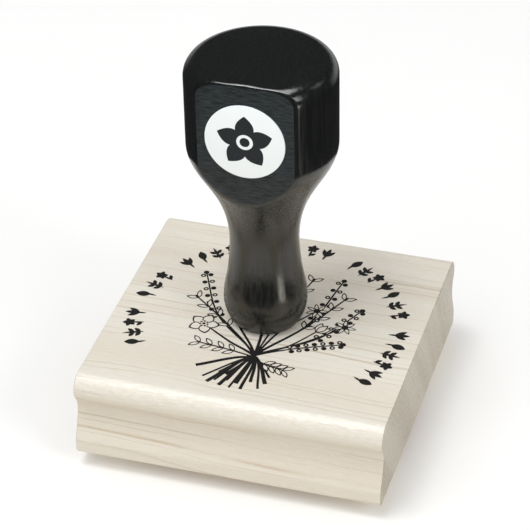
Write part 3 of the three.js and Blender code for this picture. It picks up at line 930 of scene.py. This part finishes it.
def growth(points, grows):
    """What a stem carries: pairs of leaves or berries along its upper part, or a head at its tip."""
    if grows == "leaves":
        return leaves_on(points)
    if grows == "berries":
        return berries_on(points)
    end = points[-1] - points[-2]
    head = {"daisy": daisy_at, "flower": flower_at, "bud": bud_at}[grows]
    return head(*points[-1], math.atan2(end.y, end.x))


def bouquet():
    """All stems, then what grows on each, then the knot that ties them."""
    shapes = []
    for number, (foot, tip, _, bow) in enumerate(STEMS):
        foot_width = STEM_WIDTH + STEM_WIDENING * (number % 3)
        shapes.append((band(stem_curve(foot, tip, bow), foot_width, STEM_TIP_WIDTH), True))
    for foot, tip, grows, bow in STEMS:
        shapes += growth(stem_curve(foot, tip, bow), grows)
    knot = [(TIE[0] + KNOT_HALF[0] * x, TIE[1] + KNOT_HALF[1] * y) for x, y in disc(0, 0, 1)]
    shapes.append((knot, True))
    return shapes


def paint(shapes, extra=()):
    """Cuts the plane along all outlines. Returns the corners, and each triangle with the numbers of the
    outlines that lie over it."""
    corners, faces = [], []
    for outline in [s for s, _ in shapes] + list(extra):
        area = sum(a[0] * b[1] - b[0] * a[1] for a, b in zip(outline, outline[1:] + outline[:1]))
        faces.append(list(range(len(corners), len(corners) + len(outline))))
        if area < 0:
            faces[-1].reverse()
        corners += [Vector(p) for p in outline]
    corners, _, triangles, _, _, owners = delaunay_2d_cdt(corners, [], faces, 1, PAINT_TOLERANCE)
    return corners, list(zip(triangles, owners))


def raise_solid(bm, corners, triangles, height_of, base):
    """A closed solid over a patch of triangles: a flat base, and across from it each triangle at its
    own height."""
    made = {}

    def vert(corner, z):
        key = (corner, round(z, 5))
        if key not in made:
            made[key] = bm.verts.new((corners[corner].x, corners[corner].y, z))
        return made[key]

    sides = {}
    for number, triangle in enumerate(triangles):
        for i in range(3):
            edge = (triangle[i], triangle[(i + 1) % 3])
            sides.setdefault(tuple(sorted(edge)), []).append((number, edge))
    for number, triangle in enumerate(triangles):
        z = height_of[number]
        bm.faces.new([vert(c, z) for c in triangle])
        bm.faces.new([vert(c, base) for c in reversed(triangle)])
    for uses in sides.values():
        number, (a, b) = uses[0]
        here = height_of[number]
        there = base if len(uses) == 1 else height_of[uses[1][0]]
        if abs(here - there) > 1e-6:
            bm.faces.new((vert(a, here), vert(b, here), vert(b, there), vert(a, there)))


def printed(shapes, keep_out=None):
    """The corners and the inked triangles of a drawing, less what lies in the keep-out outline."""
    corners, cut = paint(shapes, [keep_out] if keep_out else [])
    inked = []
    for triangle, owners in cut:
        if not owners or (keep_out and len(shapes) in owners):
            continue
        if shapes[max(owners)][1]:
            inked.append(triangle)
    return corners, inked


def make_index_print(black):
    """The stamp's own picture, printed on the block's top, as far as the handle's foot."""
    foot = disc(HANDLE_AXIS_X, 0, FOOT_EDGE_RADIUS + PRINT_GAP, 48)
    corners, inked = printed(ring() + bouquet(), foot)
    bm = bmesh.new()
    raise_solid(bm, corners, inked, [BLOCK_HIGH.z + INK_THICKNESS] * len(inked), BLOCK_HIGH.z)
    index_print = make_object("index_print", bm, [black])
    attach(index_print, "root")


def make_label(white, dark):
    """The label, turned lying down and stood up to face -Y, and its print."""
    outline = [(0, 0), (LABEL_RADIUS, 0)]
    thick = LABEL_HIGH.y - LABEL_LOW.y
    outline += arc((LABEL_RADIUS - LABEL_EDGE, thick - LABEL_EDGE), LABEL_EDGE, 0, math.pi / 2, 3)
    outline.append((0, thick))
    bm = turned(outline, segments=96)
    back = Matrix.Translation((LABEL_CENTRE.x, LABEL_HIGH.y, LABEL_CENTRE.z))
    face_front = back @ Matrix.Rotation(math.pi / 2, 4, "X")
    bmesh.ops.transform(bm, matrix=face_front, verts=bm.verts)
    label = make_object("label_vinyl_disc", bm, [white], sharp=80)
    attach(label, "root")
    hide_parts("label_disc")

    shapes = []
    for i in range(LABEL_PETALS):
        angle = math.pi / 2 + 2 * math.pi * i / LABEL_PETALS
        shapes.append((leaf(0, 0, angle, LABEL_PETAL_LENGTH, LABEL_PETAL_WIDTH, 12), True))
    shapes.append((disc(0, 0, LABEL_EYE_RADIUS, 32), False))
    shapes.append((disc(0, 0, LABEL_DOT_RADIUS, 32), True))
    corners, inked = printed(shapes)
    bm = bmesh.new()
    raise_solid(bm, corners, inked, [thick + LABEL_INK_THICKNESS] * len(inked), thick)
    bmesh.ops.transform(bm, matrix=face_front, verts=bm.verts)
    mark = make_object("label_print", bm, [dark])
    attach(mark, "root")


# ---------------------------------------------------------------- die stack


def die_outline():
    """A round, cut straight in front."""
    start = math.asin((DIE_LOW.y - DIE_CENTRE_Y) / DIE_RADIUS)
    return arc((0, DIE_CENTRE_Y), DIE_RADIUS, start, math.pi - start, 120)


def make_die(red):
    """The die in one piece: the artwork stands proud of the sheet, down to the printing face."""
    shapes = [(die_outline(), False)] + ring() + bouquet()
    corners, cut = paint(shapes)
    triangles = [t for t, owners in cut if owners]
    heights = [DIE_LOW.z if shapes[max(o)][1] else DIE_LOW.z + RELIEF_HEIGHT for _, o in cut if o]
    bm = bmesh.new()
    raise_solid(bm, corners, triangles, heights, DIE_HIGH.z)
    die = make_object("die_moulded", bm, [red])
    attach(die, "root")
    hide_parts("rubber_die")


def make_cushion(grey):
    """The foam sheet: drawn in a little at both faces, where it is stuck, and bellied between them."""
    outline = die_outline()
    height = CUSHION_HIGH.z - CUSHION_LOW.z
    rings = []
    for i in range(CUSHION_STEPS + 1):
        share = i / CUSHION_STEPS
        waist = CUSHION_WAIST * (1 - math.sin(math.pi * share))
        z = CUSHION_LOW.z + height * share
        rings.append([(p[0], p[1], z) for p in inset(outline, waist + CUSHION_TRIM)])
    bm = bmesh.new()
    loft(bm, rings)
    cushion = make_object("cushion_foam_sheet", bm, [grey], sharp=60)
    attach(cushion, "root")
    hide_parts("cushion")


def dress_cad_node(name, material):
    """A CAD piece that keeps its own shape and gets a finished material."""
    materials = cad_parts[name].data.materials
    if len(materials):
        for i in range(len(materials)):
            materials[i] = material
    else:
        materials.append(material)


# ---------------------------------------------------------------- studio

CAMERA_PLACE = (0.1398, -0.4505, 0.3730)
CAMERA_AZIMUTH = math.radians(17.36)
CAMERA_ELEVATION = math.radians(35.14)
CAMERA_ROLL = math.radians(-1.23)
CAMERA_LENS = 161.53
SENSOR = 36.0
CLIP = (0.01, 20)
LIGHTS_AIM = Vector((0, 0, 0.05))
SHEET_RADIUS = 108
FLOOR_RADIUS = 5000

# The world's light on matt surfaces.
AMBIENT = 0.63
BOUNCE = 0.96  # from below, in place of the floor's own
BOUNCE_COLOUR = (1.0, 0.93, 0.81, 1)

# What gloss mirrors. An edge is the two values of the direction's y or z that it fades between.
ROOM_BRIGHTNESS = 0.03
WALL_BRIGHTNESS = 0.7
WALL_SIDE_EDGE = (0.60, 0.90)
WALL_TOP_EDGE = (0.0, 0.25)
WALL_FOOT_EDGE = (-0.45, -0.15)
WINDOW_BRIGHTNESS = 5.0
WINDOW_AZIMUTH = math.radians(61)  # from -Y round to +X
WINDOW_SIDE_EDGE = (0.05, 0.24)  # radians off the window's azimuth
WINDOW_TOP_EDGE = (-0.25, -0.15)
WINDOW_FOOT_EDGE = (-0.50, -0.40)
ROOF_BRIGHTNESS = 6.0
ROOF_EDGE = (0.88, 0.93)


def make_camera():
    data = bpy.data.cameras.new("view_camera")
    data.sensor_width = SENSOR
    data.lens = CAMERA_LENS
    data.clip_start, data.clip_end = CLIP
    camera = bpy.data.objects.new("view_camera", data)
    bpy.context.scene.collection.objects.link(camera)
    level = math.cos(CAMERA_ELEVATION)
    back = Vector(
        (math.sin(CAMERA_AZIMUTH) * level, -math.cos(CAMERA_AZIMUTH) * level, math.sin(CAMERA_ELEVATION))
    )
    right = (-back).cross(Vector((0, 0, 1))).normalized()
    up = right.cross(-back)
    right, up = (
        math.cos(CAMERA_ROLL) * right + math.sin(CAMERA_ROLL) * up,
        math.cos(CAMERA_ROLL) * up - math.sin(CAMERA_ROLL) * right,
    )
    turn = Matrix((right, up, back)).transposed().to_4x4()
    camera.matrix_world = Matrix.Translation(CAMERA_PLACE) @ turn
    bpy.context.scene.camera = camera


def soft_light(name, place, size, power, glossy=True):
    data = bpy.data.lights.new(name, "AREA")
    data.shape = "RECTANGLE"
    data.size, data.size_y = size
    data.energy = power
    light = bpy.data.objects.new(name, data)
    light.location = place
    light.rotation_mode = "QUATERNION"
    light.rotation_quaternion = (Vector(place) - LIGHTS_AIM).to_track_quat("Z", "Y")
    light.visible_camera = False
    light.visible_glossy = glossy
    bpy.context.scene.collection.objects.link(light)


class WorldNodes(Shader):
    """The world's own tree, built with the same short-hand."""

    def __init__(self, world):
        self.tree = world.node_tree


def make_world():
    """Matt surfaces get even light from above and a warmer one from below. Gloss mirrors a dim room with a
    pale wall behind the stamp, a low strip of bright window to its right and a light in the roof."""
    world = bpy.data.worlds.new("studio")
    bpy.context.scene.world = world
    world.use_nodes = True
    sky = WorldNodes(world)
    x, y, z = sky.split(sky.node("ShaderNodeTexCoord").outputs["Generated"])

    wall = sky.spread(y, *WALL_SIDE_EDGE, 0.0, WALL_BRIGHTNESS)
    wall = sky.times(wall, sky.spread(z, *WALL_TOP_EDGE, 1.0, 0.0))
    wall = sky.times(wall, sky.spread(z, *WALL_FOOT_EDGE))
    azimuth = sky.math("ARCTAN2", x, sky.times(y, -1.0))
    off_window = sky.math("ABSOLUTE", sky.math("SUBTRACT", azimuth, WINDOW_AZIMUTH))
    window = sky.spread(off_window, *WINDOW_SIDE_EDGE, WINDOW_BRIGHTNESS, 0.0)
    window = sky.times(window, sky.spread(z, *WINDOW_FOOT_EDGE))
    window = sky.times(window, sky.spread(z, *WINDOW_TOP_EDGE, 1.0, 0.0))
    roof = sky.spread(z, *ROOF_EDGE, 0.0, ROOF_BRIGHTNESS)
    gloss = sky.plus(sky.plus(wall, window), sky.plus(roof, ROOM_BRIGHTNESS))

    above = sky.spread(z, -0.1, 0.1)
    is_gloss = sky.node("ShaderNodeLightPath").outputs["Is Glossy Ray"]
    strength = sky.mix_numbers(is_gloss, sky.mix_numbers(above, BOUNCE, AMBIENT), gloss)
    white = sky.math("MAXIMUM", above, is_gloss)
    background = world.node_tree.nodes["Background"]
    sky.tree.links.new(sky.mix(white, BOUNCE_COLOUR, (1, 1, 1, 1)), background.inputs["Color"])
    sky.tree.links.new(strength, background.inputs["Strength"])


def flat_floor(name, paper, radius, points, drop):
    """A disc a little under z = 0, whose light on matt surfaces comes from the world instead."""
    bm = bmesh.new()
    bm.faces.new([bm.verts.new((x, y, -drop)) for x, y in disc(0, 0, radius, points)])
    floor = make_object(name, bm, [paper])
    floor.visible_diffuse = False
    return floor


def make_floor():
    """A wide pale floor. Only its middle, a sheet of the same paper, is seen in the handle's gloss."""
    paper = paper_floor()
    flat_floor("studio_sheet", paper, SHEET_RADIUS, 96, 0.02)
    wide = flat_floor("studio_floor", paper, FLOOR_RADIUS, 64, 0.04)
    wide.visible_glossy = False


def make_studio():
    make_world()
    make_floor()
    soft_light("key", (-0.40, -0.50, 0.95), (0.8, 0.8), 3.3, glossy=False)
    soft_light("overhead", (-0.18, -0.22, 1.1), (0.5, 0.25), 3.4)
    soft_light("right_window", (0.80, -0.38, 0.56), (0.36, 0.46), 2.2)
    soft_light("right_back", (0.82, 0.47, 0.75), (0.30, 0.30), 0.25)
    scene = bpy.context.scene
    scene.view_settings.view_transform = "Standard"
    scene.view_settings.look = "None"


# ---------------------------------------------------------------- assembly

make_camera()
make_studio()
make_block(maple("maple_long_grain"), maple("maple_end_grain", end_grain=True))
make_handle(lacquer())
make_index_print(ink("index_ink", (0.0075, 0.0070, 0.0065, 1)))
make_label(vinyl(), ink("label_ink", (0.022, 0.026, 0.030, 1), 0.15))
make_die(rubber())
make_cushion(foam())
adhesive = film()
dress_cad_node("mount_adhesive", adhesive)
dress_cad_node("die_adhesive", adhesive)
dress_cad_node("handle_screw", steel())
